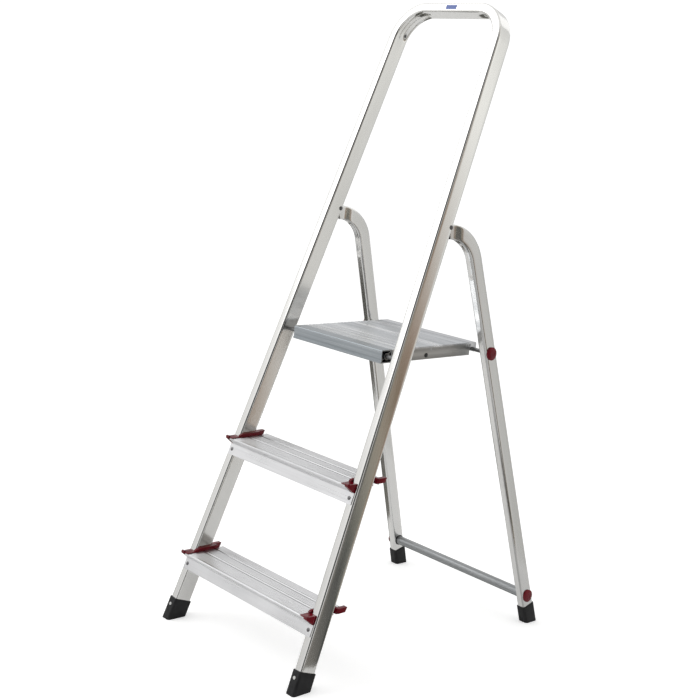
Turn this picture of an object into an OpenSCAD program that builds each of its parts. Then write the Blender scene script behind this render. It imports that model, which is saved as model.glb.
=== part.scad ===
// Folding aluminium platform step ladder: two steps, a standing platform and a
// high hoop handrail. Millimetres, +Z up, the climber faces +Y, origin on the
// floor under the middle of the open ladder's outline.

/* [Front hoop] */
// Lean of the front frame from the vertical, degrees
lean = 20; // [18:0.5:22]
// Inward slope of each side per unit of height
splay = 0.051; // [0.045:0.001:0.056]
// Outer half width of the front frame at the floor
half_w = 219; // [210:1:230]
// Length of the hoop along its lean, floor to the top edge
hoop_t = 1380; // [1340:5:1420]
// Centre line radius of the two hoop bends
hoop_bend_r = 70; // [64:1:80]
// Width of the hoop tube across the ladder
tube_w = 20; // [19:0.5:21]
// Depth of the hoop tube
tube_d = 37; // [36:0.5:38]
// Corner radius of the hoop tube
tube_r = 4; // [3:0.5:5]
// Wall thickness of the tubes
wall = 1.4; // [1.2:0.1:1.6]

/* [Rear legs] */
// Lean of the rear legs from the vertical, degrees
leg_lean = 16.5; // [16:0.25:17]
// Y of the rear legs' front faces at the floor, from the front frame's foot
leg_y0 = 647; // [640:1:655]
// Depth of the rear leg tube
leg_d = 29.5; // [28.5:0.5:30]
// Corner radius of the rear leg tube
leg_r = 4.5; // [3.5:0.5:5]
// Inside radius of the bend at the top of each leg
leg_bend_r = 62.5; // [60:0.5:64]

/* [Leg pivot] */
// Y of the pivot from the front frame's foot
pivot_y = 347.5; // [346:0.5:349]
// Height of the pivot
pivot_z = 861; // [859:0.5:863]
// Radius of the pivot rivet
pivot_r = 3; // [2.5:0.25:3.5]
// Running clearance of the pivot, on the radius
run_gap = 0.08; // [0.05:0.01:0.1]

/* [Steps] */
// Height of the lower tread's top
step1_z = 142; // [138:1:146]
// Height of the upper tread's top
step2_z = 381; // [376:1:386]
// Overhang of the nose in front of the front frame
nose_out = 21; // [18:0.5:24]
// Depth of the tread behind the front frame's front plane
tread_back = 71; // [66:1:73]

/* [Platform] */
// Height of the deck's top
deck_z = 620; // [616:1:624]
// Half width of the platform
deck_half = 136; // [130:1:140]
// Y of the platform's front face, from the front frame's foot
deck_y0 = 229; // [228:0.5:231]
// Y of the platform's rear edge
deck_y1 = 491.5; // [490:0.5:494]
// Height of the platform's frame
deck_h = 26; // [25:0.5:27]
// Y of the front axle
axle_y = 240.5; // [239:0.5:242]
// Height of the front axle
axle_z = 607.5; // [606:0.5:609]
// Radius of the front axle and of the rear support rod
rod_r = 4; // [3.5:0.25:4.5]
// Y of the rear support rod
rod_y = 482; // [481:0.5:483]
// Height of the rear support rod
rod_z = 606; // [605:0.5:607]

/* [Crossbar and caps] */
// Height of the rear crossbar's centre
bar_z = 63; // [58:1:70]
// Outer radius of the rear crossbar
bar_r = 10; // [8:0.5:10.5]
// Radius of the red round caps
cap_r = 13.5; // [12:0.5:14]

/* [Feet] */
// Wall thickness of the foot caps
foot_wall = 2.5; // [2:0.25:3]
// Length of the foot caps along the tube
foot_len = 47; // [40:1:52]
// Thickness of the foot caps' sole
sole = 5; // [4:0.5:7]

/* [Hidden] */
$fn = 64;
e = 0.01;

tl = tan(lean);
cl = cos(lean);
tau = atan(splay);             // tilt of each side plane about Y
kt = splay*cl;                 // inward slope per unit along the lean
beta = atan(kt);
// Y extent of the floor contact, used to centre the origin
foot_front_y = -foot_wall/cl;
foot_rear_y = leg_y0 + (leg_d + foot_wall - 0.3)/cos(leg_lean);
y_mid = (foot_front_y + foot_rear_y)/2;

function yf(z) = tl*z;                 // front plane of the front frame
function xw(z) = half_w - splay*z;     // outer half width at height z
leg_half = half_w - 0.6;               // outer half width of the leg plane at the floor

// ---------- helpers ----------
// rectangle with round corners, from its lower left corner
module rrect(w, d, r) {
  translate([r, 0]) square([w - 2*r, d]);
  translate([0, r]) square([w, d - 2*r]);
  for (x = [r, w - r], y = [r, d - r]) translate([x, y]) circle(r);
}
// to the row frame
module world() translate([0, -y_mid, 0]) children();
// both sides, or one
module side(s) mirror([s < 0 ? 1 : 0, 0, 0]) children();
// local frame of the right-hand leg plane: x = 0 is the outer face, z runs up the plane
module leg_plane() translate([leg_half, 0, 0]) rotate([0, -tau, 0]) children();
// leaning frame of the hoop: y = 0 is the front face, z runs up the lean
module hoop_plane() rotate([-lean, 0, 0]) children();
// frame of the right-hand stile: x = 0 is the outer face, y = 0 the front face
module stile_frame() hoop_plane() translate([half_w, 0, 0]) rotate([0, -beta, 0]) children();
// cylinder along X between two points
module xcyl(x0, x1, r) translate([x0, 0, 0]) rotate([0, 90, 0]) cylinder(r = r, h = x1 - x0);
// low dome on a round land, standing on z = 0
module dome(r, land, rise) rotate_extrude() union() {
  square([r, land]);
  translate([0, land]) intersection() {
    translate([0, rise - (r*r + rise*rise)/(2*rise)]) circle((r*r + rise*rise)/(2*rise));
    square([r, rise]);
  }
}

// ---------- front hoop ----------
hoop_turn = 90 - beta;                                  // angle of each bend
bend_cx = (half_w - kt*hoop_t) + kt*(hoop_bend_r + tube_w/2)
          - (hoop_bend_r + tube_w/2)/cos(beta);          // bend centre, in the hoop plane
bend_ct = hoop_t - hoop_bend_r - tube_w/2;
// length of the straight stile from its foot to the bend's start
stile_len = (bend_ct + (hoop_bend_r + tube_w/2)*sin(beta))/cos(beta);
hoop_ro = hoop_bend_r + tube_w/2;
groove_d = 3.2;                                         // depth of the pressed groove in the bends

over = 0.3;                                             // how far a straight run laps over a bend
lap = 0.02;                                             // step left in the wall at such a lap
module tube_section(g) translate([-tube_w + g, g]) rrect(tube_w - 2*g, tube_d - 2*g, tube_r - g);
// the hoop's outside (g = 0) or its bore (g = wall); lp is the step at the laps
module hoop_run(g, lp) {
  hoop_plane() translate([-bend_cx - over, 0, hoop_t]) rotate([0, 90, 0]) translate([tube_w, 0, 0])
    linear_extrude(height = 2*bend_cx + 2*over) tube_section(g);
  for (s = [1, -1]) side(s) {
    stile_frame() translate([0, 0, -20]) linear_extrude(height = stile_len + 20 + over) tube_section(g);
    hoop_plane() translate([bend_cx, 0, bend_ct]) rotate([90, 0, 0]) rotate([0, 0, beta])
      rotate_extrude(angle = hoop_turn) mirror([0, 1]) translate([hoop_ro, 0]) tube_section(g + lp);
  }
}
// groove pressed into the inner side of a bend, grown by g for the wall inside it
module hoop_groove(g) for (s = [1, -1]) side(s)
  hoop_plane() translate([bend_cx, 0, bend_ct]) rotate([90, 0, 0]) rotate([0, 0, beta + 5 - g])
    rotate_extrude(angle = hoop_turn - 10 + 2*g) mirror([0, 1])
      translate([hoop_ro - tube_w - 1, tube_d/2 - 9 - g]) rrect(1 + groove_d + g, 18 + 2*g, 1.6);
module slot_cut() {
  // opening in the rear wall for the leg's tongue
  stile_frame() translate([-tube_w/2 - 8.5, tube_d - 2.6, slot_t0]) cube([17, 10, slot_len]);
}
pivot_t = pivot_z*cl + pivot_y*sin(lean);               // pivot's distance up the lean
slot_t0 = pivot_t - 30;
slot_len = 42;

module front_hoop() color([0.83, 0.83, 0.82]) world()
  difference() {
    hoop_run(0, lap);
    hoop_groove(0);
    difference() { hoop_run(wall, -lap); hoop_groove(wall); }
    // level cut above the floor, inside the foot caps
    translate([-400, -100, -200]) cube([800, 400, 200 + sole]);
    for (s = [1, -1]) {
      side(s) slot_cut();
      // leg pivot holes
      side(s) translate([0, pivot_y, pivot_z]) xcyl(120, 200, pivot_r);
      // inner wall holes for the platform axle
      side(s) translate([0, axle_y, axle_z]) xcyl(150, xw(axle_z) - 8, rod_r);
      // rivet holes for the steps
      for (z = [step1_z, step2_z]) side(s) step_rivet_at(z) translate([0, 0, -1]) cylinder(r = 2.4, h = 8);
    }
  }
module handrail_label() color([0.35, 0.42, 0.72]) world()
  hoop_plane() translate([-15, -0.3, hoop_t - 15]) cube([30, 0.3, 9]);

// ---------- steps ----------
rivet_drop = 27;
// frame at a step rivet: z runs into the stile, the origin is on the stile's front face
module step_rivet_at(z)
  translate([xw(z - rivet_drop) - 13.5, yf(z - rivet_drop), z - rivet_drop])
    rotate([-90 - lean, 0, 0]) children();
// point of the section: dy behind the front plane at tread height, dz below the top
function grooves(y0, y1, n) = [for (i = [0:n - 1], k = [0:3])
   let (p = (y1 - y0)/n, y = y0 + i*p)
   [y + [0.15, 0.3, 0.7, 0.85][k]*p, [0, -0.5, -0.5, 0][k]]];
tread_t = 2.4;
apron_t = 1.8;
// closed outline of the extrusion's outside, nose first
module step_outline() {
  polygon(concat(
    [[-nose_out, -4.5], [-nose_out, -1.4], [-nose_out + 1.4, 0]],
    grooves(-nose_out + 4, 12, 7),
    [[14, 0], [15, -1.3], [19, -1.3], [20, 0]],
    grooves(22, 40, 4),
    [[42, 0], [43, -1.3], [47, -1.3], [48, 0]],
    grooves(50, 67, 4),
    [[tread_back - 1.5, 0], [tread_back, -1.5], [tread_back, -15], [tread_back - 1.8, -15],
     [tread_back - 1.8, -tread_t], [0, -tread_t]],
    // down the back of the apron, along the front plane
    [[tl*(-tread_t), -tread_t], [tl*(-37), -37], [tl*(-37.4) - apron_t/cl, -37.4], [tl*(-16) - apron_t/cl, -16]]
  ));
}
module nose_hollow() {
  polygon([[-nose_out + 2.2, -tread_t], [-nose_out + 2.2, -3.8], [tl*(-13.2) - apron_t, -13.2], [tl*(-tread_t) - apron_t, -tread_t]]);
}
// extrusion along X of a YZ outline centred on the ladder
module along_x(hw) rotate([90, 0, 90]) translate([0, 0, -hw]) linear_extrude(height = 2*hw) children();
module step_at(z) {
  wo = xw(z - 30) - 4.5;        // apron end, on the stile's front face
  wi = xw(z) - tube_w;          // tread end at the stile's inner face
  translate([0, yf(z), z]) difference() {
    along_x(wo) difference() { step_outline(); nose_hollow(); }
    // the tread stops short of the stiles; the nose and the apron run over their front faces
    for (s = [1, -1]) side(s) {
      translate([wi - 1.6, 0, 0]) rotate([-lean, 0, 0]) translate([0, -0.02, -80]) cube([60, 200, 160]);
      translate([cap_x(z) - cap_w - 0.05, -60, -15.5]) cube([60, 200, 40]);
    }
    for (s = [1, -1]) side(s) translate([0, -yf(z), -z]) step_rivet_at(z) translate([0, 0, -12]) cylinder(r = 2.4, h = 24);
  }
}
module lower_step() color([0.80, 0.80, 0.81]) world() step_at(step1_z);
module upper_step() color([0.80, 0.80, 0.81]) world() step_at(step2_z);

// red clip round the stile at a step's end, right-hand side
cap_w = 9;                                              // width of the end block on the nose
function cap_x(z) = xw(z) - 4.8;                        // outer face of the end block
module clip_nose() polygon([[-nose_out + 3.5, 1.4], [-nose_out + 1.5, 3.2], [-nose_out - 1.4, 3.2], [-nose_out - 2.6, 1.6], [-nose_out - 2.6, -2.4], [tl*(-15.4) - 2.4, -15.42],
  [tl*(-15.4) - 1.2, -15.42], [tl*1.4 - 0.9, 1.4]]);
module clip_blade() polygon([[-nose_out - 0.8, 1.3], [-nose_out - 1.5, 0.02], [-0.5, 0.02], [0, 1.3]]);
module step_clip(z) {
  wi = xw(z) - tube_w;
  yb = tube_d/cl;                // rear face of the stile at tread height
  translate([0, yf(z), z]) {
    difference() {
      union() {
        // end block on the nose, in front of the stile
        rotate([90, 0, 90]) translate([0, 0, cap_x(z) - cap_w]) linear_extrude(height = cap_w) clip_nose();
        // blade on top of the nose, from the end block to the rail
        rotate([90, 0, 90]) translate([0, 0, wi - 6.2]) linear_extrude(height = cap_x(z) - 1 - wi + 6.2) clip_blade();
        // rail along the stile's inner face, standing on the tread
        rotate([90, 0, 90]) translate([0, 0, wi - 6.2]) linear_extrude(height = 5.8)
          polygon([[-3, 0.02], [-3, 3.6], [0, 5.8], [5, 6.6], [yb + 9, 7.6], [yb + 15, 5.4], [yb + 16.5, 0.02]]);
        // end plate of the rail, down the tread's cut end
        translate([wi - 1.6, 0.8, -15]) cube([1.2, yb + 16 - 0.8, 16]);
        // arm behind the stile, and the block on its outer end, leaning with the stile
        rotate([90, 0, 90]) translate([0, 0, wi - 1.6]) linear_extrude(height = tube_w - 1)
          polygon([[yb + 6.5, -5], [yb + 14, -5], [yb + 16, 4.5], [yb + 10, 4.5]]);
        rotate([90, 0, 90]) translate([0, 0, wi + 8.5]) linear_extrude(height = tube_w - 10)
          polygon([[yb + 10, -5], [yb + 28.5, -5], [yb + 33, 4.5], [yb + 12, 4.5]]);
      }
      // space of the stile, leaning
      translate([0, -yf(z), -z]) grown_stile(0.15);
    }
    // plug into the hollow of the nose
    rotate([90, 0, 90]) translate([0, 0, cap_x(z) - cap_w - 12]) linear_extrude(height = 13)
      polygon([[-nose_out + 2.6, -tread_t - 0.1], [-nose_out + 2.6, -3.6], [tl*(-12.4) - apron_t - 0.5, -12.4], [tl*(-tread_t) - apron_t - 0.4, -tread_t - 0.1]]);
  }
}
module grown_stile(g) stile_frame() translate([0, 0, -20])
  linear_extrude(height = 900) translate([-tube_w - g, -g]) rrect(tube_w + 2*g, tube_d + 2*g, tube_r + g);
clip_red = [0.55, 0.05, 0.09];
module lower_step_cap_right() color(clip_red) world() step_clip(step1_z);
module lower_step_cap_left() color(clip_red) world() side(-1) step_clip(step1_z);
module upper_step_cap_right() color(clip_red) world() step_clip(step2_z);
module upper_step_cap_left() color(clip_red) world() side(-1) step_clip(step2_z);

// blind rivets through the aprons into the stiles
module step_rivets(z) for (s = [1, -1]) side(s) step_rivet_at(z) {
  translate([0, 0, -apron_t]) mirror([0, 0, 1]) dome(3.9, 0.4, 1.1);
  translate([0, 0, -apron_t - 0.1]) cylinder(r = 2.4, h = apron_t + wall + 3);
  translate([0, 0, wall]) cylinder(r = 3.4, h = 2.2);
}
module lower_step_rivets() color([0.30, 0.30, 0.31]) world() step_rivets(step1_z);
module upper_step_rivets() color([0.30, 0.30, 0.31]) world() step_rivets(step2_z);

// ---------- front feet ----------
module above_floor() intersection() { children(); translate([-500, -300, 0]) cube([1000, 1400, 400]); }
module front_foot() {
  difference() {
    above_floor() stile_frame() translate([0, 0, -30]) linear_extrude(height = 30 + foot_len)
      translate([-tube_w - foot_wall, -foot_wall]) rrect(tube_w + 2*foot_wall, tube_d + 2*foot_wall, tube_r + foot_wall - 1);
    difference() {
      grown_stile(0);
      translate([-400, -100, -200]) cube([800, 400, 200 + sole]);
    }
    foot_pin_at() translate([0, 0, -3]) cylinder(r = 2, h = 10);
  }
}
module foot_pin_at() stile_frame() translate([-tube_w/2, -foot_wall, 33]) rotate([-90, 0, 0]) children();
module front_foot_right() color([0.07, 0.07, 0.07]) world() front_foot();
module front_foot_left() color([0.07, 0.07, 0.07]) world() side(-1) front_foot();
module front_foot_pins() color([0.6, 0.6, 0.6]) world() for (s = [1, -1]) side(s) foot_pin_at() {
  translate([0, 0, -0.9]) cylinder(r = 3.2, h = 0.9);
  cylinder(r = 2, h = foot_wall - e);
}

// ---------- leg pivot ----------
module leg_pivot_rivets() color([0.25, 0.25, 0.26]) world() for (s = [1, -1]) side(s)
  translate([0, pivot_y, pivot_z]) {
    x1 = xw(pivot_t*cl);
    xcyl(x1 - tube_w - 1.2, x1 + 1.0, pivot_r);
    translate([x1, 0, 0]) rotate([0, -tau, 0]) rotate([0, 90, 0]) dome(4.4, 0.5, 1.2);
    translate([x1 - tube_w/cos(tau), 0, 0]) rotate([0, -tau, 0]) rotate([0, -90, 0]) dome(4.4, 0.5, 1.2);
  }
tongue_w = 13.5;
module leg_pivot_washers() color([0.85, 0.85, 0.80]) world() for (s = [1, -1]) side(s)
  translate([xw(pivot_t*cl) - tube_w/2, pivot_y, pivot_z]) for (m = [-7.68, 7.68])
    translate([m - 0.5, 0, 0]) difference() {
      xcyl(0, 1, 4.4);
      translate([-1, 0, 0]) xcyl(0, 3, pivot_r);
    }

// ---------- platform axle ----------
module platform_axle() color([0.22, 0.22, 0.22]) world() translate([0, axle_y, axle_z]) {
  x1 = xw(axle_z) - wall - 1.0;
  xcyl(-x1, x1, rod_r);
}
module axle_clips() color([0.18, 0.18, 0.18]) world() for (s = [1, -1]) side(s)
  translate([deck_half + 1.4, axle_y, axle_z]) difference() {
    xcyl(0, 1.2, 7);
    translate([-1, 0, 0]) xcyl(0, 4, rod_r);
  }

// ---------- rear legs ----------
ll = leg_lean;
leg_ro = leg_bend_r + leg_d;                       // outside radius of the top bend
// bend centre: ahead of the leg's front line by the inside radius, neck level with the pivot band
neck_z = pivot_z - 7.2;                            // height of the neck's centre line
bend_z = neck_z - leg_bend_r - leg_d/2;
bend_y = leg_y0 - tan(ll)*bend_z - leg_bend_r/cos(ll);
module leg_profile(g) translate([-tube_w + g, g]) rrect(tube_w - 2*g, leg_d - 2*g, leg_r - g);
leg_run = (bend_z + leg_bend_r*sin(ll))/cos(ll);   // straight length from the floor line
// the leg's outside (g = 0) or its bore (g = wall), in the leg plane
module leg_solid(g, lp) {
  // straight part, z along the leg
  translate([0, leg_y0, 0]) rotate([ll, 0, 0]) translate([0, 0, -30]) linear_extrude(height = leg_run + 30 + over) leg_profile(g);
  // bend at the top
  translate([0, bend_y, bend_z]) rotate([90, 0, 90]) rotate([0, 0, ll]) rotate_extrude(angle = 90 - ll)
    translate([leg_ro, 0]) rotate(90) leg_profile(g + lp);
  // neck
  translate([0, bend_y + over, neck_z - leg_d/2]) rotate([90, 0, 0]) linear_extrude(height = bend_y + over - (pivot_y - 30)) leg_profile(g);
}
leg_groove_d = 3.2;                                // depth of the pressed groove in the leg's bend
module leg_groove(g) {
  translate([0, bend_y, bend_z]) rotate([90, 0, 90]) rotate([0, 0, ll + 4 - g])
    rotate_extrude(angle = 44 + 2*g) translate([leg_bend_r - 1, -tube_w/2 - 5.5 - g]) rrect(1 + leg_groove_d + g, 11 + 2*g, 1.6);
  // shallower run-out down the straight
  translate([-tube_w/2 - 5.2 - g, leg_y0, 0]) rotate([ll, 0, 0]) translate([0, -1, leg_run - 38 - g])
    cube([10.4 + 2*g, 1 + leg_groove_d - 0.3 + g, 38 + g + 5.6]);
}
// plan outline that narrows the neck to the tongue
module neck_taper(t_in) {
  w0 = tongue_w - 2*t_in;
  w1 = tube_w + 2;
  ya = bend_y + 9;
  yb = bend_y + 30;
  translate([-tube_w/2, 0, -200]) linear_extrude(height = 1400) polygon([
    [-w0/2, 0], [w0/2, 0], [w0/2, ya], [w1/2 - t_in, yb], [w1/2 - t_in, 900], [-w1/2 + t_in, 900], [-w1/2 + t_in, yb], [-w0/2, ya]]);
}
module rear_leg() difference() {
  intersection() { leg_solid(0, lap); neck_taper(0); tongue_limit(0); }
  leg_groove(0);
  difference() { intersection() { leg_solid(wall, -lap); neck_taper(wall); tongue_limit(wall); } leg_groove(wall); }
}
// keeps the neck behind the pivot, and rounds it ahead of the pivot
module tongue_limit(t_in) {
  zl = pivot_z/cos(tau);
  translate([-60, pivot_y + 1.5*t_in, -100]) cube([120, 900, 1200]);
  if (t_in == 0) translate([0, pivot_y, zl]) xcyl(-60, 60, 7);
}
module leg_right() difference() {
  leg_plane() rear_leg();
  translate([-400, 0, -200]) cube([800, 900, 200 + sole]);
  translate([0, pivot_y, pivot_z]) xcyl(100, 220, pivot_r + run_gap);
  translate([0, rod_y, rod_z]) xcyl(100, 260, rod_r);
  translate([0, bar_y, bar_z]) xcyl(100, 260, 5);
}
bar_y = leg_y0 - tan(ll)*bar_z + leg_d/2/cos(ll);
module rear_leg_right() color([0.82, 0.82, 0.81]) world() leg_right();
module rear_leg_left() color([0.82, 0.82, 0.81]) world() side(-1) leg_right();

module rear_foot() difference() {
  above_floor() leg_plane() translate([0, leg_y0, 0]) rotate([ll, 0, 0]) translate([0, 0, -30])
    linear_extrude(height = 30 + foot_len - 9)
      translate([-tube_w - foot_wall + 0.3, -foot_wall + 0.3]) rrect(tube_w + 2*foot_wall - 0.6, leg_d + 2*foot_wall - 0.6, leg_r + foot_wall - 1);
  difference() {
    leg_plane() leg_solid(0, 0);
    translate([-400, 0, -200]) cube([800, 900, 200 + sole]);
  }
}
module rear_foot_right() color([0.07, 0.07, 0.07]) world() rear_foot();
module rear_foot_left() color([0.07, 0.07, 0.07]) world() side(-1) rear_foot();

// ---------- crossbar, support rod and caps ----------
function xleg(z) = leg_half - splay*z;
bar_half = xleg(bar_z) - tube_w/cos(tau) - 1.55;         // half length of the full-size bar
module rear_crossbar() color([0.55, 0.55, 0.55]) world() translate([0, bar_y, bar_z]) difference() {
  union() {
    xcyl(-bar_half, bar_half, bar_r);
    xcyl(-(xleg(bar_z) + 2.1), xleg(bar_z) + 2.1, 5);
  }
  xcyl(-300, 300, 3.4);
}
module crossbar_collars() color([0.15, 0.15, 0.15]) world() for (s = [1, -1]) side(s)
  translate([xleg(bar_z) - tube_w/cos(tau), bar_y, bar_z]) difference() {
    intersection() { translate([-1.5, 0, 0]) xcyl(0, 2.5, 11.8); rotate([0, -tau, 0]) translate([-10.02, -20, -20]) cube([10, 40, 40]); }
    translate([-5, 0, 0]) xcyl(0, 10, 5);
  }
// domed red cap pushed on a bar's end; its flat sits on the leg's outer face
module round_cap(y, z, r_in) translate([xleg(z), y, z]) difference() {
  rotate([0, -tau, 0]) rotate([0, 90, 0]) difference() {
    dome(cap_r, 2.6, 2.2);
    translate([0, 0, 3.7]) cylinder(r1 = 5.6, r2 = 7.4, h = 1.8);
  }
  translate([-10, 0, 0]) xcyl(0, 10 + 2.15, r_in);
}
module crossbar_cap_right() color(clip_red) world() round_cap(bar_y, bar_z, 5);
module crossbar_cap_left() color(clip_red) world() side(-1) round_cap(bar_y, bar_z, 5);
module rod_cap_right() color(clip_red) world() round_cap(rod_y, rod_z, rod_r);
module rod_cap_left() color(clip_red) world() side(-1) round_cap(rod_y, rod_z, rod_r);
module platform_support_rod() color([0.20, 0.20, 0.20]) world() translate([0, rod_y, rod_z])
  xcyl(-(xleg(rod_z) + 2.1), xleg(rod_z) + 2.1, rod_r);

// ---------- platform ----------
nose_d = 27;                     // depth of the nose extrusion
z0 = deck_z - deck_h;
module nose_section() {
  difference() {
    union() {
      // front wall, leaning top edge and lip under the face
      translate([deck_y0 + 1, z0]) square([nose_d - 1, deck_h - 0.0]);
      translate([deck_y0, z0 + 4]) square([3, deck_h - 6.5]);
      translate([deck_y0 + 2.5, deck_z - 2.5]) circle(2.5);
      translate([deck_y0 - 1.4, z0]) square([6, 4]);
    }
    translate([deck_y0 - 3, deck_z - 2.5]) square([5.5, 6]);
    // hollow
    translate([deck_y0 + 2, z0 + 2]) square([nose_d - 4, deck_h - 4.2]);
  }
  translate([deck_y0 + 2.5, deck_z - 2.5]) intersection() { circle(2.5); translate([-3, 0]) square([3, 3]); }
  // diagonal ribs from the axle boss to the corners
  difference() {
    union() {
      translate([axle_y, axle_z]) circle(rod_r + 2.4);
      translate([axle_y, axle_z]) rotate(38) translate([0, -0.8]) square([17.5, 1.6]);
      translate([axle_y, axle_z]) rotate(-142) translate([0, -0.8]) square([12.5, 1.6]);
    }
    translate([axle_y, axle_z]) circle(rod_r + run_gap);
    translate([deck_y0 - 10, z0 - 20]) square([60, 20.5]);
    translate([deck_y0 + nose_d - 0.5, z0 - 20]) square([60, 60]);
    translate([deck_y0 - 20, z0 - 20]) square([20.5, 60]);
  }
}
module platform_nose() color([0.55, 0.57, 0.59]) world() along_x(deck_half - 0.6) nose_section();
module platform_nose_bushes() color([0.06, 0.06, 0.06]) world() for (s = [1, -1]) side(s)
  translate([deck_half - 0.6, axle_y, axle_z]) difference() {
    xcyl(0, 1.6, 6.6);
    translate([-1, 0, 0]) xcyl(0, 4, rod_r + run_gap);
  }
deck_t = 3;
// ribbed deck between the nose and the rear hook
module platform_deck() color([0.66, 0.67, 0.70]) world() {
  ya = deck_y0 + nose_d;
  yb = deck_y1 - 24;
  n = 22;
  p = (yb - ya)/n;
  zb = deck_z - deck_t;
  along_x(deck_half - 0.6) polygon(concat(
    [[ya, zb]],
    [for (i = [0:n - 1], k = [0:3]) [ya + (i + [0.1, 0.22, 0.78, 0.9][k])*p, deck_z - [0.8, 0, 0, 0.8][k]]],
    [[yb, zb]],
    [for (y = [yb - 6, (ya + yb)/2 - 1, ya + 4], k = [0:3]) [y + [2, 2, 0, 0][k], zb - [0, 7, 7, 0][k]]]));
}
// side plate, an angle whose web is the outer face
module side_plate() translate([0, 0, 0]) difference() {
  union() {
    translate([deck_half - 0.6 - 2.2, deck_y0 + nose_d, z0]) cube([2.2, 472.5 - deck_y0 - nose_d, deck_h - deck_t - 0.05]);
    translate([deck_half - 0.6 - 14, deck_y0 + nose_d, z0]) cube([14, 472.5 - deck_y0 - nose_d, 1.8]);
  }
  // deck ribs pass over the side plates
  for (y = rib_ys()) translate([0, y - 0.15, deck_z - deck_t - 7.15]) cube([300, 2.3, 20]);
  translate([0, deck_y1 - 24.15, deck_z - 10.15]) cube([300, 2.5, 20]);
  // relief ahead of the support rod
  translate([0, rod_y - 9.5, z0 - 1]) rotate([-24, 0, 0]) translate([0, 0, -20]) cube([300, 40, 24]);
  translate([0, 349, 602]) xcyl(100, 200, 2.4);
}
function rib_ys() = let (ya = deck_y0 + nose_d, yb = deck_y1 - 24) [ya + 4, (ya + yb)/2 - 1, yb - 6];
module platform_side_right() color([0.45, 0.45, 0.44]) world() side_plate();
module platform_side_left() color([0.45, 0.45, 0.44]) world() side(-1) side_plate();
// rear rail hooked over the support rod, open below and in front
module hook_section() difference() {
  union() {
    translate([deck_y1 - 24, deck_z - deck_t]) square([24 - 2, deck_t - 0.0]);
    translate([deck_y1 - 24, deck_z - 10]) square([2.2, 8]);
    translate([rod_y - 7.4, rod_z]) square([7.4, deck_z - rod_z - 2]);
    translate([rod_y, rod_z]) circle(7.4);
    translate([rod_y, rod_z - 2]) square([7.4, deck_z - rod_z]);
    translate([deck_y1 - 3, deck_z - 3]) circle(3);
    translate([rod_y + 6, deck_z - 14]) square([deck_y1 - rod_y - 6, 11]);
  }
  translate([rod_y, rod_z]) circle(rod_r + 0.35);
  // mouth: downwards and forwards
  translate([rod_y - 20, rod_z - 20]) square([20 + rod_r + 0.35, 20]);
  translate([rod_y - 20, rod_z - 20]) square([20, 20 + 3.5]);
  translate([rod_y - 40, z0 - 40]) square([80, 40]);
}
module platform_rear_hook() color([0.62, 0.63, 0.65]) world() along_x(deck_half - 0.6) hook_section();
// hidden brace across the underside, between the side plates
module platform_brace() color([0.6, 0.6, 0.6]) world() difference() {
  translate([-(deck_half - 2.9), 342, z0 + 1.9]) cube([2*(deck_half - 2.9), 14, deck_h - deck_t - 9.2]);
  translate([-(deck_half + 9), 343.6, z0 + 3.5]) cube([2*(deck_half + 9), 10.8, deck_h]);
  for (s = [1, -1]) side(s) translate([0, 349, 602]) xcyl(deck_half - 12, 200, 2.4);
}
module platform_side_rivets() color([0.08, 0.08, 0.08]) world() for (s = [1, -1]) side(s)
  translate([deck_half - 0.6, 349, 602]) {
    rotate([0, 90, 0]) dome(4.6, 0.6, 1.3);
    xcyl(-8, 0.1, 2.4);
  }

front_hoop();
handrail_label();
lower_step();
upper_step();
lower_step_cap_left();
lower_step_cap_right();
upper_step_cap_left();
upper_step_cap_right();
lower_step_rivets();
upper_step_rivets();
front_foot_left();
front_foot_right();
front_foot_pins();
leg_pivot_rivets();
leg_pivot_washers();
platform_axle();
axle_clips();
rear_leg_left();
rear_leg_right();
rear_foot_left();
rear_foot_right();
rear_crossbar();
crossbar_collars();
crossbar_cap_left();
crossbar_cap_right();
platform_support_rod();
rod_cap_left();
rod_cap_right();
platform_nose();
platform_deck();
platform_side_left();
platform_side_right();
platform_rear_hook();
platform_brace();
platform_side_rivets();
platform_nose_bushes();
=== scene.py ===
import math
import bmesh
import bpy
from mathutils import Matrix, Vector


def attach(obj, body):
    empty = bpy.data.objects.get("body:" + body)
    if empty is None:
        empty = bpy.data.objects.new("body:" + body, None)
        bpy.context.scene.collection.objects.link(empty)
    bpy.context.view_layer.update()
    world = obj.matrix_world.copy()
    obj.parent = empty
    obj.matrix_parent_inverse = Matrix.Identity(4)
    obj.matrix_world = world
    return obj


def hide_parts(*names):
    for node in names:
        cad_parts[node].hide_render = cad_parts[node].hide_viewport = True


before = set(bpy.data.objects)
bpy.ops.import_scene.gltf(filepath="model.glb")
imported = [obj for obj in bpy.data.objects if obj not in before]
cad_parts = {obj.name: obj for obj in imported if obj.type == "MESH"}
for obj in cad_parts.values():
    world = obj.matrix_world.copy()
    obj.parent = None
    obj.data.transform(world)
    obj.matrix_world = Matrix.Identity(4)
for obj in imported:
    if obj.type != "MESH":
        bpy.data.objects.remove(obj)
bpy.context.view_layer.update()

MM = 0.001
sin, cos, tan, rad = math.sin, math.cos, math.tan, math.radians

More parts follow.
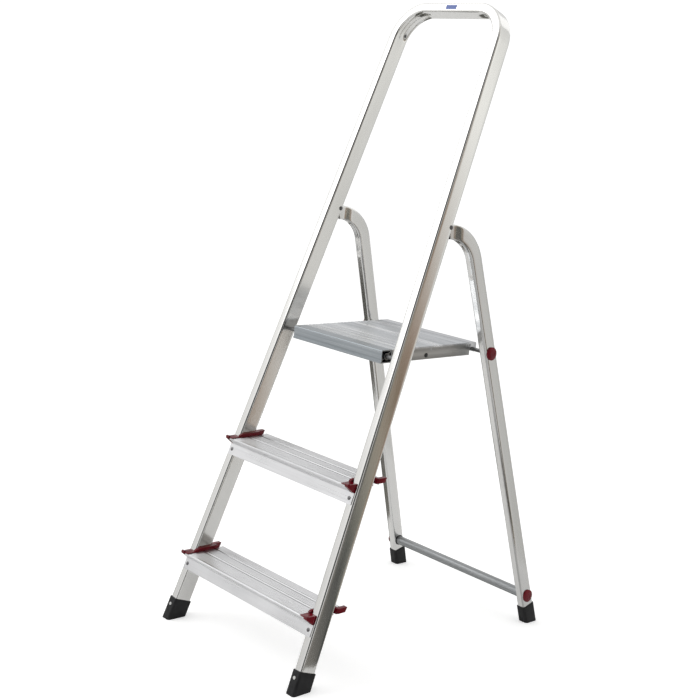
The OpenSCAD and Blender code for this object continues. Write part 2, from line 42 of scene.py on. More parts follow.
# ---------------------------------------------------------------- dimensions (mm), the same as the CAD part's
LEAN = rad(20.0)
SPLAY = 0.051
HALF_W = 219.0
HOOP_T = 1380.0
BEND_R = 70.0
TW, TD, TR, WALL = 20.0, 37.0, 4.0, 1.4
LEG_LEAN = rad(16.5)
LEG_Y0 = 647.0
LEG_D, LEG_R, LEG_BR = 29.5, 4.5, 62.5
PIVOT_Y, PIVOT_Z = 347.5, 861.0
FOOT_WALL = 2.5
TL, CL, SL = tan(LEAN), cos(LEAN), sin(LEAN)
TAU = math.atan(SPLAY)
KT = SPLAY * CL
BETA = math.atan(KT)
Y_MID = (-FOOT_WALL / CL + LEG_Y0 + (LEG_D + FOOT_WALL - 0.3) / cos(LEG_LEAN)) / 2


def yf(z):
    return TL * z


def xw(z):
    return HALF_W - SPLAY * z


LEG_HALF = HALF_W - 0.6
STEP_Z = {"lower": 142.0, "upper": 381.0}


def W(x, y, z):
    """design millimetres to the row frame in metres"""
    return Vector((x * MM, (y - Y_MID) * MM, z * MM))


# ---------------------------------------------------------------- camera
def make_camera():
    az, el, ro = rad(46.4014), rad(10.6804), rad(4.8112)
    f, cx, cy = 1285.466, 395.354, 350.591
    pos = Vector((1.90798, -1.42390 - Y_MID * MM, 1.07890))
    fwd = Vector((-sin(az) * cos(el), cos(az) * cos(el), -sin(el)))
    right = fwd.cross(Vector((0, 0, 1))).normalized()
    up = right.cross(fwd).normalized()
    r2 = right * cos(ro) + up * sin(ro)
    u2 = -right * sin(ro) + up * cos(ro)
    m = Matrix((r2, u2, -fwd)).transposed().to_4x4()
    m.translation = pos
    cam = bpy.data.cameras.new("camera")
    cam.sensor_fit = "HORIZONTAL"
    cam.sensor_width = 36.0
    cam.lens = f / 700.0 * 36.0
    cam.shift_x = (350.0 - cx) / 700.0
    cam.shift_y = (cy - 350.0) / 700.0
    cam.clip_start = 0.05
    cam.clip_end = 100
    o = bpy.data.objects.new("camera", cam)
    o.matrix_world = m
    bpy.context.scene.collection.objects.link(o)
    bpy.context.scene.camera = o


# ---------------------------------------------------------------- materials
class Mat:
    def __init__(self, name):
        self.m = bpy.data.materials.new(name)
        self.m.use_nodes = True
        self.nt = self.m.node_tree
        self.nt.nodes.clear()
        self.out = self.nt.nodes.new("ShaderNodeOutputMaterial")
        self.b = self.nt.nodes.new("ShaderNodeBsdfPrincipled")
        self.nt.links.new(self.b.outputs[0], self.out.inputs[0])

    def n(self, kind, **kw):
        node = self.nt.nodes.new(kind)
        for k, v in kw.items():
            setattr(node, k, v)
        return node

    def link(self, a, b):
        self.nt.links.new(a, b)

    def set(self, key, value):
        self.b.inputs[key].default_value = value

    def coords(self, scale, uv=False, rot=(0, 0, 0)):
        tc = self.n("ShaderNodeTexCoord")
        mp = self.n("ShaderNodeMapping")
        mp.inputs["Scale"].default_value = scale
        mp.inputs["Rotation"].default_value = rot
        self.link(tc.outputs["UV" if uv else "Object"], mp.inputs["Vector"])
        return mp.outputs[0]

    def noise(self, scale, detail=3.0, rough=0.5, uv=False, mul=1.0, rot=(0, 0, 0)):
        t = self.n("ShaderNodeTexNoise")
        t.inputs["Scale"].default_value = mul
        t.inputs["Detail"].default_value = detail
        t.inputs["Roughness"].default_value = rough
        self.link(self.coords(scale, uv, rot), t.inputs["Vector"])
        return t.outputs["Fac"]

    def remap(self, src, lo, hi, a=0.3, b=0.7):
        r = self.n("ShaderNodeMapRange")
        r.inputs["From Min"].default_value = a
        r.inputs["From Max"].default_value = b
        r.inputs["To Min"].default_value = lo
        r.inputs["To Max"].default_value = hi
        self.link(src, r.inputs["Value"])
        return r.outputs["Result"]

    def math(self, op, a, b):
        k = self.n("ShaderNodeMath", operation=op)
        for i, v in enumerate((a, b)):
            if isinstance(v, (int, float)):
                k.inputs[i].default_value = v
            else:
                self.link(v, k.inputs[i])
        return k.outputs[0]

    def ramp(self, src, stops):
        r = self.n("ShaderNodeValToRGB")
        el = r.color_ramp.elements
        while len(el) > 1:
            el.remove(el[-1])
        el[0].position, el[0].color = stops[0][0], (*stops[0][1], 1)
        for p, c in stops[1:]:
            e = el.new(p)
            e.color = (*c, 1)
        self.link(src, r.inputs["Fac"])
        return r.outputs["Color"]

    def mix(self, fac, a, b):
        k = self.n("ShaderNodeMix", data_type="RGBA")
        if isinstance(fac, (int, float)):
            k.inputs[0].default_value = fac
        else:
            self.link(fac, k.inputs[0])
        for i, v in ((6, a), (7, b)):
            if isinstance(v, tuple):
                k.inputs[i].default_value = (*v, 1)
            else:
                self.link(v, k.inputs[i])
        return k.outputs[2]

    def bump(self, height, strength, dist):
        k = self.n("ShaderNodeBump")
        k.inputs["Strength"].default_value = strength
        k.inputs["Distance"].default_value = dist
        self.link(height, k.inputs["Height"])
        self.link(k.outputs[0], self.b.inputs["Normal"])


def metal(name, base, dark, rough=(0.16, 0.34), grain=(1, 1, 1), uv=False, rot=(0, 0, 0), bump=0.12, metallic=1.0, stain=0.35, painted_tread_shade=(), painted_shade_bands=()):
    """drawn or extruded aluminium: fine grain along its length, faint handling marks, uneven gloss; optional painted
    shade and painted reflection stripes round a tube, and painted shade on tread tops and grooves
    """
    m = Mat(name)
    fine = m.noise(grain, 2.0, 0.6, uv, 1.0, rot)
    cloud = m.noise((9, 9, 9) if not uv else (40, 6, 1), 4.0, 0.55, uv, 1.0, rot)
    col = m.ramp(cloud, [(0.30, dark), (0.62, base), (0.80, tuple(min(1.0, c * 1.04) for c in base))])
    streak = m.ramp(fine, [(0.25, tuple(c * (1 - stain * 0.25) for c in base)), (0.75, base)])
    tone = m.mix(0.45, col, streak)

    def multiply(tone, hit, amount):
        painted_shade_mix = m.n("ShaderNodeMix", data_type="RGBA", blend_type="MULTIPLY")
        m.link(hit, painted_shade_mix.inputs[0])
        m.link(tone, painted_shade_mix.inputs[6])
        painted_shade_mix.inputs[7].default_value = (amount, amount, amount, 1)
        return painted_shade_mix.outputs[2]

    if painted_shade_bands:
        # painted shade and painted reflection: stripes round the tube, placed by u, painted darker in place of a darker
        # reflection on those faces
        tc = m.n("ShaderNodeTexCoord")
        around = m.n("ShaderNodeSeparateXYZ")
        m.link(tc.outputs["UV"], around.inputs[0])
        for mid, reach, amount in painted_shade_bands:
            tone = multiply(tone, m.math("LESS_THAN", m.math("ABSOLUTE", m.math("SUBTRACT", around.outputs["X"], mid), 0.0), reach), amount)
    if painted_tread_shade:
        # painted shade: the tread tops painted darker, and the bottoms of the broad grooves and the nose chamfer
        # painted darker still
        geo = m.n("ShaderNodeNewGeometry")
        sep = m.n("ShaderNodeSeparateXYZ")
        m.link(geo.outputs["Position"], sep.inputs[0])
        def near(axis, mid, reach):
            return m.math("LESS_THAN", m.math("ABSOLUTE", m.math("SUBTRACT", sep.outputs[axis], mid), 0.0), reach)

        for z, y_a, y_b, y_n in painted_tread_shade:
            low = near("Z", z - 0.0008, 0.00068)
            for hit, amount in ((near("Z", z, 0.00062), 0.84), (m.math("MULTIPLY", low, near("Y", y_n, 0.0010)), 0.80),
                                (m.math("MULTIPLY", low, near("Y", y_a, 0.0031)), 0.72),
                                (m.math("MULTIPLY", low, near("Y", y_b, 0.0031)), 0.72)):
                tone = multiply(tone, hit, amount)
    m.link(tone, m.b.inputs["Base Color"])
    r = m.math("ADD", m.remap(fine, 0.0, rough[1] - rough[0]), m.remap(cloud, rough[0], rough[0] + 0.06))
    m.link(r, m.b.inputs["Roughness"])
    m.set("Metallic", metallic)
    m.bump(fine, bump, 0.00015)
    return m.m


def streaked(name, low, mid, high, grain, rough, bump=0.10):
    """extruded aluminium with broad lengthwise streaks of tone and gloss"""
    m = Mat(name)
    broad = m.noise(grain, 3.0, 0.65)
    fine = m.noise(tuple(g * (1.5 if g < 10 else 9.0) for g in grain), 2.0, 0.6)
    worn = m.noise((14, 14, 14), 4.0, 0.6)
    col = m.ramp(broad, [(0.34, low), (0.50, mid), (0.66, high)])
    m.link(m.mix(m.remap(worn, 0.0, 0.35), col, mid), m.b.inputs["Base Color"])
    m.link(m.math("ADD", m.remap(broad, rough[1], rough[0]), m.remap(fine, -0.04, 0.04)), m.b.inputs["Roughness"])
    m.set("Metallic", 1.0)
    m.bump(fine, bump, 0.00015)
    return m.m


def plastic(name, base, light, rough=(0.28, 0.45), scale=600.0, bump=0.15, coat=0.0, spec=0.5, metallic=0.0):
    """moulded plastic or rubber: fine texture, faint scuffs"""
    m = Mat(name)
    fine = m.noise((scale, scale, scale), 2.0, 0.6)
    cloud = m.noise((45, 45, 45), 4.0, 0.6)
    m.link(m.ramp(cloud, [(0.35, base), (0.75, light)]), m.b.inputs["Base Color"])
    m.link(m.math("ADD", m.remap(cloud, rough[0], rough[1]), m.remap(fine, -0.03, 0.03)), m.b.inputs["Roughness"])
    m.set("Specular IOR Level", spec)
    m.set("Coat Weight", coat)
    m.set("Coat Roughness", 0.15)
    m.set("Metallic", metallic)
    m.bump(fine, bump, 0.0001)
    return m.m


M = {}


def make_materials():
    # u runs round the tube and v along it, both in metres
    M["stile"] = metal("stile_metal", (0.87, 0.865, 0.845), (0.80, 0.79, 0.76), (0.08, 0.15), (2600, 14, 1), uv=True, bump=0.05)
    # painted reflection and shade on the legs: the outer face and a stripe along the front-outer corner painted darker
    M["leg"] = metal("leg_metal", (0.86, 0.855, 0.84), (0.79, 0.78, 0.76), (0.09, 0.17), (2600, 14, 1), uv=True, bump=0.05,
                     painted_shade_bands=((0.0283, 0.0138, 0.82), (0.0128, 0.0020, 0.62)))
    # painted shade on both steps: tread tops, broad grooves and nose chamfer painted darker
    M["step"] = metal("step_metal", (0.86, 0.86, 0.87), (0.74, 0.74, 0.75), (0.22, 0.36), (5, 260, 260), bump=0.12, stain=0.8, 
                      painted_tread_shade=[(z / 1000, W(0, yf(z) + 17, z)[1], W(0, yf(z) + 45, z)[1], W(0, yf(z) - 20.3, z)[1]) for z in (142, 381)])
    M["deck"] = streaked("deck_metal", (0.42, 0.435, 0.455), (0.60, 0.615, 0.635), (0.84, 0.85, 0.86), (1.6, 70, 70), (0.20, 0.42))
    M["hook"] = streaked("hook_metal", (0.50, 0.51, 0.53), (0.62, 0.63, 0.65), (0.74, 0.75, 0.77), (2.4, 90, 90), (0.26, 0.40))
    M["nose"] = streaked("nose_metal", (0.30, 0.33, 0.35), (0.40, 0.43, 0.455), (0.50, 0.53, 0.55), (1.8, 160, 160), (0.24, 0.38))
    M["side"] = streaked("side_metal", (0.34, 0.34, 0.335), (0.46, 0.46, 0.455), (0.58, 0.58, 0.57), (120, 2.0, 120), (0.26, 0.42))
    M["bar"] = streaked("bar_metal", (0.26, 0.27, 0.275), (0.33, 0.34, 0.345), (0.42, 0.43, 0.44), (4, 240, 240), (0.36, 0.50))
    M["rod"] = metal("rod_metal", (0.22, 0.22, 0.22), (0.12, 0.12, 0.12), (0.24, 0.40), (12, 1500, 1500), bump=0.1)
    M["rivet"] = metal("rivet_metal", (0.20, 0.195, 0.20), (0.10, 0.10, 0.10), (0.30, 0.45), (400, 400, 400), bump=0.15)
    M["red"] = plastic("red_plastic", (0.125, 0.002, 0.008), (0.20, 0.004, 0.014), (0.16, 0.26), spec=0.28)
    M["rubber"] = plastic("foot_rubber", (0.009, 0.009, 0.010), (0.022, 0.022, 0.023), (0.38, 0.56), 900.0, 0.3, spec=0.28)
    M["black"] = plastic("black_plastic", (0.018, 0.018, 0.019), (0.035, 0.035, 0.036), (0.35, 0.5), 900.0, 0.2)
    M["pin"] = plastic("pin_plastic", (0.62, 0.62, 0.60), (0.74, 0.74, 0.72), (0.30, 0.45), 900.0, 0.1)
    M["nylon"] = plastic("nylon", (0.72, 0.72, 0.68), (0.80, 0.80, 0.76), (0.35, 0.5), 900.0, 0.1)
    M["label"] = plastic("label_film", (0.10, 0.16, 0.46), (0.16, 0.22, 0.52), (0.25, 0.35), 1200.0, 0.05)


# ---------------------------------------------------------------- mesh helpers
def new_object(name, verts, faces, mat, smooth_deg=35.0, uvs=None):
    me = bpy.data.meshes.new(name)
    me.from_pydata([tuple(v) for v in verts], [], faces)
    if uvs is not None:
        uvl = me.uv_layers.new(name="UVMap")
        for p in me.polygons:
            for li, vi in zip(p.loop_indices, p.vertices):
                uvl.data[li].uv = uvs[vi]
    bm = bmesh.new()
    bm.from_mesh(me)
    bmesh.ops.recalc_face_normals(bm, faces=bm.faces)
    bm.to_mesh(me)
    bm.free()
    me.materials.append(mat)
    for p in me.polygons:
        p.use_smooth = True
    me.set_sharp_from_angle(angle=rad(smooth_deg))
    o = bpy.data.objects.new(name, me)
    bpy.context.scene.collection.objects.link(o)
    return o


def rings_mesh(rings, base=0, closed_ring=True):
    """quads between consecutive rings of equal length"""
    faces = []
    n = len(rings[0])
    for i in range(len(rings) - 1):
        for j in range(n if closed_ring else n - 1):
            a = base + i * n + j
            b = base + i * n + (j + 1) % n
            faces.append((a, b, b + n, a + n))
    return faces


def rr_profile(w, d, r, seg=6, inner=2, flats=(3, 3, 3, 3)):
    """rounded rectangle round (0..w, 0..d), counter-clockwise from the bottom edge; flats are subdivisions per side"""
    pts = []
    corners = [((w - r, r), -90), ((w - r, d - r), 0), ((r, d - r), 90), ((r, r), 180)]
    starts = [(r, 0), (w, r), (w - r, d), (0, d - r)]
    ends = [(w - r, 0), (w, d - r), (r, d), (0, r)]
    for k in range(4):
        s, e = starts[k], ends[k]
        for i in range(flats[k]):
            t = i / flats[k]
            pts.append((s[0] + (e[0] - s[0]) * t, s[1] + (e[1] - s[1]) * t))
        (cx, cy), a0 = corners[k]
        for i in range(seg):
            a = rad(a0 + 90 * i / seg)
            pts.append((cx + r * cos(a), cy + r * sin(a)))
    return pts


def smooth01(t):
    t = max(0.0, min(1.0, t))
    return t * t * (3 - 2 * t)


def apply_modifiers(o):
    dg = bpy.context.evaluated_depsgraph_get()
    me = bpy.data.meshes.new_from_object(o.evaluated_get(dg), preserve_all_data_layers=True, depsgraph=dg)
    o.modifiers.clear()
    o.data = me
    return o


def boolean(o, cutters, op="DIFFERENCE"):
    for c in cutters:
        m = o.modifiers.new("cut", "BOOLEAN")
        m.operation = op
        m.object = c
        m.solver = "EXACT"
    apply_modifiers(o)
    for c in cutters:
        bpy.data.objects.remove(c, do_unlink=True)
    return o


# ---------------------------------------------------------------- hoop
HOOP_RO = BEND_R + TW / 2
BCX = (HALF_W - KT * HOOP_T) + KT * HOOP_RO - HOOP_RO / cos(BETA)
BCT = HOOP_T - HOOP_RO
STILE_LEN = (BCT + HOOP_RO * sin(BETA)) / cos(BETA)


def hoop_point(x, u, t):
    return W(x, u * CL + t * SL, -u * SL + t * CL)


def hoop_path():
    """centre line points of the right half from the foot to the middle: (x, t, nx, nt, s, bend)"""
    pts = []
    n = 46
    for i in range(n + 1):
        s = 4.0 + (STILE_LEN - 4.0) * i / n
        pts.append((HALF_W - 10 * cos(BETA) - s * sin(BETA), -10 * sin(BETA) + s * cos(BETA), cos(BETA), sin(BETA), s, 0.0))
    turn = math.pi / 2 - BETA
    na = 40
    for i in range(1, na + 1):
        a = BETA + turn * i / na
        pts.append((BCX + BEND_R * cos(a), BCT + BEND_R * sin(a), cos(a), sin(a), STILE_LEN + BEND_R * turn * i / na, i / na))
    nb = 6
    for i in range(1, nb + 1):
        x = BCX * (1 - i / nb)
        pts.append((x, BCT + BEND_R, 0.0, 1.0, STILE_LEN + BEND_R * turn + BCX * i / nb, 1.0))
    return pts


def groove_shape(u, half, mid):
    k = abs(u - mid) / half
    if k >= 1:
        return 0.0
    return min(1.0, 1.25 * (0.5 + 0.5 * cos(math.pi * k)))


def build_hoop():
    path = hoop_path()
    total = path[-1][4]
    full = path + [(-p[0], p[1], -p[2], p[3], 2 * total - p[4], p[5]) for p in reversed(path[:-1])]
    turn = math.pi / 2 - BETA

    def shell(inset):
        w, d, r = TW - 2 * inset, TD - 2 * inset, TR - inset
        # side order: bottom edge of profile = inner face of the hoop (a = -w/2), u along the edge
        prof = rr_profile(d, w, max(r, 0.6), 6, flats=(22, 3, 6, 3))
        rings, uv = [], []
        per = [0.0]
        for k in range(1, len(prof)):
            per.append(per[-1] + math.dist(prof[k], prof[k - 1]))
        for i, (x, t, nx, nt, s, bend) in enumerate(full):
            # depth of the pressed groove: fades in just before the bend and out just after it
            s_loc = s if s <= total else 2 * total - s
            b0, b1 = STILE_LEN, STILE_LEN + BEND_R * turn
            g = smooth01((s_loc - (b0 - 4)) / 20.0) * smooth01(((b1 + 4) - s_loc) / 14.0) * 4.2
            ring = []
            for k, (pu, pa) in enumerate(prof):
                u = pu + inset
                a = pa - w / 2
                if pa < 0.01:
                    a += g * groove_shape(u, 12.5, TD / 2 + 1.5)
                p = hoop_point(x + a * nx, u, t + a * nt)
                if i == 0 or i == len(full) - 1:
                    # level cut at the foot
                    z = p.z / MM
                    ds = (5.15 - z) / (cos(BETA) * CL)
                    sgn = 1 if i == 0 else -1
                    p = hoop_point(x + a * nx - sgn * ds * sin(BETA), u, t + a * nt + ds * cos(BETA))
                ring.append(p)
                uv.append((per[k] * MM, s * MM))
            rings.append(ring)
        return rings, uv

    outer, uvo = shell(0.0)
    inner, uvi = shell(WALL)
    n = len(outer[0])
    verts = [v for r in outer for v in r] + [v for r in inner for v in r]
    faces = rings_mesh(outer)
    base = len(outer) * n
    faces += [tuple(reversed(f)) for f in rings_mesh(inner, base)]
    for ring_index, flip in ((0, False), (len(outer) - 1, True)):
        for j in range(n):
            a, b = ring_index * n + j, ring_index * n + (j + 1) % n
            c, e = base + b, base + a
            faces.append((a, e, c, b) if not flip else (a, b, c, e))
    o = new_object("hoop_tube", verts, faces, M["stile"], 40.0, uvo + uvi)
    # slots in the rear walls where the legs' tongues enter
    cutters = []
    pt = PIVOT_Z * CL + PIVOT_Y * SL
    for s in (1, -1):
        bm = bmesh.new()
        v = []
        prof = rr_profile(17.0, 41.0, 3.0, 4, flats=(1, 1, 1, 1))
        for u in (TD - 2.2, TD + 8.0):
            for (a, b) in prof:
                xl, zl = -10 - 8.5 + a, pt - 30 + b
                x = HALF_W + xl * cos(BETA) - zl * sin(BETA)
                t = xl * sin(BETA) + zl * cos(BETA)
                q = hoop_point(x * s, u, t)
                v.append(q)
        k = len(prof)
        f = [tuple(range(k)), tuple(range(2 * k - 1, k - 1, -1))] + [(i, (i + 1) % k, k + (i + 1) % k, k + i) for i in range(k)]
        bm.free()
        c = new_object("slot_cutter", v, f, M["stile"])
        cutters.append(c)
    boolean(o, cutters)
    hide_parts("front_hoop")
    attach(o, "front_frame")
    return o


# ---------------------------------------------------------------- rear legs
LEG_RO = LEG_BR + LEG_D
NECK_Z = PIVOT_Z - 7.2
BEND_Z = NECK_Z - LEG_BR - LEG_D / 2
BEND_Y = LEG_Y0 - tan(LEG_LEAN) * BEND_Z - LEG_BR / cos(LEG_LEAN)


def leg_point(x, y, zl, s):
    """x outwards from the leg plane's outer face (negative inside), zl up the plane"""
    X = LEG_HALF + x * cos(TAU) - zl * sin(TAU)
    Z = x * sin(TAU) + zl * cos(TAU)
    return W(X * s, y, Z)


def build_leg(s):
    ll = LEG_LEAN
    z_t = BEND_Z + LEG_BR * sin(ll)
    run = z_t / cos(ll)
    rings, uv = [], []
    prof0 = rr_profile(TW, LEG_D, LEG_R, 6, flats=(14, 4, 3, 4))   # x across, second along depth (0 = front/inner side)
    per = [0.0]
    for k in range(1, len(prof0)):
        per.append(per[-1] + math.dist(prof0[k], prof0[k - 1]))
    stations = []
    n = 40
    for i in range(n):
        q = 4.0 + (run - 48.0) * i / (n - 1)
        stations.append(("s", q, q))
    for i in range(1, 15):
        q = run - 44.0 + 44.0 * i / 14
        stations.append(("s", q, q))
    na = 34
    for i in range(1, na + 1):
        a = ll + (math.pi / 2 - ll) * i / na
        stations.append(("b", a, run + (LEG_BR + LEG_D / 2) * (a - ll)))
    s_end = stations[-1][2]
    for y in (BEND_Y - 1.5, PIVOT_Y + 1.0, PIVOT_Y - 1.5, PIVOT_Y - 3.5, PIVOT_Y - 5.0, PIVOT_Y - 6.2, PIVOT_Y - 6.8):
        stations.append(("n", y, s_end + BEND_Y - y))
    zl_p = PIVOT_Z / cos(TAU)
    for kind, q, sl in stations:
        ring = []
        for k, (px, pd) in enumerate(prof0):
            xx = px - TW
            dd = pd
            if kind == "s":
                if pd < 0.01:
                    dd += smooth01((q - (run - 38)) / 9.0) * 3.2 * groove_shape(px, 6.5, TW / 2)
                y = LEG_Y0 - q * sin(ll) + dd * cos(ll)
                z = q * cos(ll) + dd * sin(ll)
            elif kind == "b":
                r = LEG_BR + dd
                if pd < 0.01:
                    g = smooth01((rad(63) - q) / rad(14)) * 3.2
                    r += g * groove_shape(px, 6.5, TW / 2)
                y = BEND_Y + r * cos(q)
                z = BEND_Z + r * sin(q)
            else:
                y = q
                z = NECK_Z - LEG_D / 2 + dd
            # flattened towards the tongue
            if y < BEND_Y + 32:
                w = smooth01((BEND_Y + 31 - y) / 24.0)
                half = 10.0 * (1 - w) + 6.72 * w
                xx = -10 + (xx + 10) * half / 10.0
            if kind == "n":
                # rounded nose about the pivot, the lower corner cut back
                top = zl_p + 7.3
                if q < PIVOT_Y + 2:
                    e = max(0.0, PIVOT_Y - q)
                    hgt = math.sqrt(max(0.0, 49.0 - e * e))
                    lo_full = NECK_Z - LEG_D / 2
                    lo = zl_p - hgt if q < PIVOT_Y else lo_full + (zl_p - 7.0 - lo_full) * 0.55
                    hi = min(NECK_Z + LEG_D / 2, zl_p + hgt + (0.4 if q >= PIVOT_Y else 0))
                    f = (z - (NECK_Z - LEG_D / 2)) / LEG_D
                    z = lo + (hi - lo) * f
            p = leg_point(xx, y, z, s)
            if kind == "s" and q < 4.01:
                zc = p.z / MM
                dq = (5.15 - zc) / (cos(ll) * cos(TAU))
                y2 = y - dq * sin(ll)
                z2 = z + dq * cos(ll)
                p = leg_point(xx, y2, z2, s)
            ring.append(p)
            uv.append((per[k] * MM, sl * MM))
        rings.append(ring)
    nn = len(rings[0])
    verts = [v for r in rings for v in r]
    faces = rings_mesh(rings)
    faces.append(tuple(range(nn)))
    faces.append(tuple(reversed(range(len(verts) - nn, len(verts)))))
    side = "right" if s > 0 else "left"
    o = new_object("leg_tube_" + side, verts, faces, M["leg"], 40.0, uv)
    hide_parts("rear_leg_" + side)
    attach(o, "rear_legs")
    return o


# ---------------------------------------------------------------- bevelled copies of CAD nodes
def soft_copy(node, body, mat, name, width=0.8, segs=2, angle=30.0, smooth=35.0):
    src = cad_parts[node]
    me = src.data.copy()
    bm = bmesh.new()
    bm.from_mesh(me)
    bmesh.ops.remove_doubles(bm, verts=bm.verts, dist=1e-6)
    bmesh.ops.dissolve_limit(bm, angle_limit=rad(1.0), verts=bm.verts, edges=bm.edges)
    bm.to_mesh(me)
    bm.free()
    me.materials.clear()
    me.materials.append(mat)
    o = bpy.data.objects.new(name, me)
    bpy.context.scene.collection.objects.link(o)
    b = o.modifiers.new("bevel", "BEVEL")
    b.width = width * MM
    b.segments = segs
    b.limit_method = "ANGLE"
    b.angle_limit = rad(angle)
    b.use_clamp_overlap = True
    b.harden_normals = False
    apply_modifiers(o)
    for p in o.data.polygons:
        p.use_smooth = True
    o.data.set_sharp_from_angle(angle=rad(smooth))
    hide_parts(node)
    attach(o, body)
    return o


def dress(node, mat, smooth=35.0):
    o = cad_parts[node]
    o.data.materials.clear()
    o.data.materials.append(mat)
    for p in o.data.polygons:
        p.use_smooth = True
    o.data.set_sharp_from_angle(angle=rad(smooth))


# ---------------------------------------------------------------- stage
SIDE = (0.7236, 0.6902)          # horizontal direction that the right-hand faces mirror to the viewer


def stage_mesh(name, verts, faces, material):
    me = bpy.data.meshes.new(name)
    me.from_pydata(verts, [], faces)
    o = bpy.data.objects.new(name, me)
    bpy.context.scene.collection.objects.link(o)
    me.materials.append(material)
    return o


def make_stage():
    r = 14.0
    m = Mat("floor_paint")
    paint = m.ramp(m.noise((1.5, 1.5, 1.5), 3.0), [(0.3, (0.80, 0.80, 0.795)), (0.7, (0.83, 0.83, 0.825))])
    m.link(paint, m.b.inputs["Base Color"])
    m.set("Roughness", 0.75)
    m.set("Specular IOR Level", 0.1)
    lp = m.n("ShaderNodeLightPath")
    m.set("Emission Color", (1, 1, 1, 1))
    m.link(m.math("MULTIPLY", lp.outputs["Is Camera Ray"], 0.44), m.b.inputs["Emission Strength"])
    stage_mesh("floor", [(-r, -r, 0), (r, -r, 0), (r, r, 0), (-r, r, 0)], [(0, 1, 2, 3)], m.m)

    # studio flag to the right and behind: seen only in the metal's reflections
    k = Mat("flag_cloth")
    k.nt.nodes.remove(k.b)
    em = k.n("ShaderNodeEmission")
    k.link(em.outputs[0], k.out.inputs[0])
    tc = k.n("ShaderNodeTexCoord")
    sep = k.n("ShaderNodeSeparateXYZ")
    k.link(tc.outputs["Object"], sep.inputs[0])
    lat = k.math("ADD", k.math("MULTIPLY", sep.outputs["X"], -SIDE[1]), k.math("MULTIPLY", sep.outputs["Y"], SIDE[0]))
    fac = k.remap(lat, 0.0, 1.0, -0.60, 0.40)
    shade = [(-0.60, (0.34, 0.33, 0.31)), (-0.44, (0.25, 0.24, 0.225)), (-0.375, (0.18, 0.172, 0.158)), (-0.347, (0.10, 0.10, 0.095)), (-0.318, (0.026, 0.031, 0.036)),
             (-0.298, (0.14, 0.15, 0.13)), (-0.262, (0.32, 0.31, 0.27)), (-0.240, (0.42, 0.37, 0.30)), (-0.205, (0.19, 0.148, 0.105)),
             (-0.165, (0.27, 0.19, 0.14))]
    low = shade + [(-0.135, (0.40, 0.31, 0.25)), (-0.105, (0.60, 0.57, 0.53)), (-0.07, (0.72, 0.715, 0.70)), (0.00, (0.72, 0.72, 0.705)),
                   (0.08, (0.62, 0.62, 0.605)), (0.40, (0.58, 0.58, 0.57))]
    high = shade + [(-0.135, (0.40, 0.31, 0.25)), (-0.105, (0.60, 0.57, 0.53)), (-0.07, (0.86, 0.85, 0.82)), (-0.02, (1.06, 1.06, 1.03)),
                    (0.06, (0.80, 0.80, 0.78)), (0.40, (0.70, 0.70, 0.69))]
    tall = k.remap(sep.outputs["Z"], 0.0, 1.0, 0.75, 1.15)
    pair = [k.ramp(fac, [(p + 0.60, c) for p, c in stops]) for stops in (low, high)]
    k.link(k.mix(tall, pair[0], pair[1]), em.inputs["Color"])
    em.inputs["Strength"].default_value = 1.0

    dark = Mat("dark_cloth")
    dark.nt.nodes.remove(dark.b)
    em2 = dark.n("ShaderNodeEmission")
    dark.link(em2.outputs[0], dark.out.inputs[0])
    dark.link(dark.ramp(dark.noise((2.2, 2.2, 2.2), 3.0), [(0.35, (0.05, 0.05, 0.045)), (0.65, (0.17, 0.165, 0.15))]), em2.inputs["Color"])

    def at(f, lat_, z):
        return (SIDE[0] * f - SIDE[1] * lat_, SIDE[1] * f + SIDE[0] * lat_, z)

    f0, f1 = 0.04, 0.85
    for name, quad in (("flag_wall", [at(f1, -0.62, 0.0), at(f1, 0.42, 0.0), at(f1, 0.42, 2.2), at(f1, -0.62, 2.2)]),
                       ("flag_floor", [at(f0, -0.62, 0.002), at(f1, -0.62, 0.002), at(f1, -0.20, 0.002), at(f0 + 0.05, -0.20, 0.002)]),
                       ("cloth_back", [(-1.30, -0.05, 0.002), (-0.34, -0.05, 0.002), (-0.34, 1.9, 0.002), (-1.30, 1.9, 0.002)]),
                       ("cloth_side", [(-1.6, -0.75, 0.002), (-0.78, -0.75, 0.002), (-0.78, -0.05, 0.002), (-1.6, -0.05, 0.002)])):
        o = stage_mesh(name, quad, [(0, 1, 2, 3)], k.m if name.startswith("flag") else dark.m)
        o.visible_camera = False
        o.visible_diffuse = False
        o.visible_shadow = False
        o.visible_transmission = False

    w = bpy.data.worlds.new("studio")
    bpy.context.scene.world = w
    w.use_nodes = True
    nt = w.node_tree
    nt.nodes.clear()

    def node(kind, **kw):
        q = nt.nodes.new(kind)
        for key, v in kw.items():
            setattr(q, key, v)
        return q

    def op(kind, a, b):
        q = node("ShaderNodeMath", operation=kind)
        for i, v in enumerate((a, b)):
            if isinstance(v, (int, float)):
                q.inputs[i].default_value = v
            else:
                nt.links.new(v, q.inputs[i])
        return q.outputs[0]

    def curve(src, lo, hi, stops):
        mr = node("ShaderNodeMapRange")
        mr.inputs["From Min"].default_value = lo
        mr.inputs["From Max"].default_value = hi
        nt.links.new(src, mr.inputs["Value"])
        rp = node("ShaderNodeValToRGB")
        rp.color_ramp.interpolation = "EASE"
        el = rp.color_ramp.elements
        while len(el) > 1:
            el.remove(el[-1])
        el[0].position, el[0].color = (stops[0][0] - lo) / (hi - lo), (stops[0][1],) * 3 + (1,)
        for x, v in stops[1:]:
            e = el.new((x - lo) / (hi - lo))
            e.color = (v, v, v, 1)
        nt.links.new(mr.outputs["Result"], rp.inputs["Fac"])
        return rp.outputs["Color"]

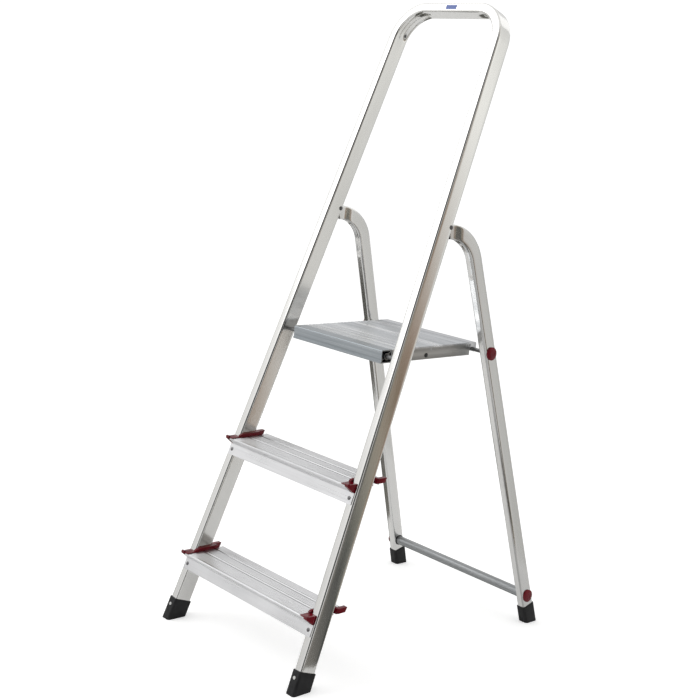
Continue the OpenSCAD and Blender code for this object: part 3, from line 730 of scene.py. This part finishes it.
    tc = node("ShaderNodeTexCoord")
    sep = node("ShaderNodeSeparateXYZ")
    nt.links.new(tc.outputs["Generated"], sep.inputs[0])
    up = curve(sep.outputs["Z"], -1.0, 1.0, [(-0.5, 0.55), (-0.05, 0.60), (0.03, 0.66), (0.17, 0.84), (0.32, 1.07), (0.7, 1.06), (1.0, 0.96)])
    back = curve(sep.outputs["Y"], -1.0, 1.0, [(-0.4, 1.0), (0.3, 0.86), (0.7, 0.72), (1.0, 0.72)])
    dot = node("ShaderNodeVectorMath", operation="DOT_PRODUCT")
    nt.links.new(tc.outputs["Generated"], dot.inputs[0])
    dot.inputs[1].default_value = (0.705, -0.672, 0.226)
    room = curve(dot.outputs["Value"], -1.0, 1.0, [(0.60, 1.0), (0.76, 0.55), (0.90, 0.10), (1.0, 0.05)])
    val = op("MULTIPLY", op("MULTIPLY", up, back), room)
    lp = node("ShaderNodeLightPath")
    # plain white behind the object, and an even room for the diffuse light
    cam = op("MULTIPLY", lp.outputs["Is Camera Ray"], 1.1)
    rest = op("MULTIPLY", op("SUBTRACT", 1.0, lp.outputs["Is Camera Ray"]), val)
    bg = node("ShaderNodeBackground")
    bg.inputs["Color"].default_value = (1, 1, 1, 1)
    nt.links.new(op("ADD", cam, rest), bg.inputs["Strength"])
    out = node("ShaderNodeOutputWorld")
    nt.links.new(bg.outputs[0], out.inputs[0])

    def area(name, loc, target, size, power, col=(1, 1, 1)):
        l = bpy.data.lights.new(name, "AREA")
        l.shape = "RECTANGLE"
        l.size, l.size_y = size
        l.energy = power
        l.color = col
        o = bpy.data.objects.new(name, l)
        o.location = loc
        d = Vector(target) - Vector(loc)
        o.rotation_euler = d.to_track_quat("-Z", "Y").to_euler()
        bpy.context.scene.collection.objects.link(o)
        return o

    area("key", (-1.8, -2.4, 3.0), (0, 0, 0.6), (2.6, 2.6), 26)
    area("back", (0.3, 3.2, 3.0), (0, 0, 0.6), (2.8, 1.8), 6)
    bpy.context.scene.view_settings.view_transform = "Standard"
    bpy.context.scene.view_settings.look = "None"


# ---------------------------------------------------------------- build
make_camera()
make_materials()
make_stage()
build_hoop()
build_leg(1)
build_leg(-1)

for side in ("left", "right"):
    for lv in ("lower", "upper"):
        soft_copy(f"{lv}_step_cap_{side}", "front_frame", M["red"], f"{lv}_clip_{side}", 0.9, 3)
    soft_copy(f"front_foot_{side}", "front_frame", M["rubber"], f"front_boot_{side}", 0.9, 3)
    soft_copy(f"rear_foot_{side}", "rear_legs", M["rubber"], f"rear_boot_{side}", 0.9, 3)
    dress(f"crossbar_cap_{side}", M["red"])
    dress(f"rod_cap_{side}", M["red"])
    dress(f"platform_side_{side}", M["side"])
for lv in ("lower", "upper"):
    dress(f"{lv}_step", M["step"])
    dress(f"{lv}_step_rivets", M["rivet"])
dress("handrail_label", M["label"])
dress("front_foot_pins", M["pin"])
dress("leg_pivot_rivets", M["rivet"])
dress("leg_pivot_washers", M["nylon"])
dress("platform_axle", M["rod"])
dress("axle_clips", M["rod"])
dress("rear_crossbar", M["bar"])
dress("crossbar_collars", M["black"])
dress("platform_support_rod", M["rod"])
dress("platform_nose", M["nose"])
dress("platform_deck", M["deck"])
dress("platform_rear_hook", M["hook"])
dress("platform_brace", M["side"])
dress("platform_side_rivets", M["black"])
dress("platform_nose_bushes", M["black"])
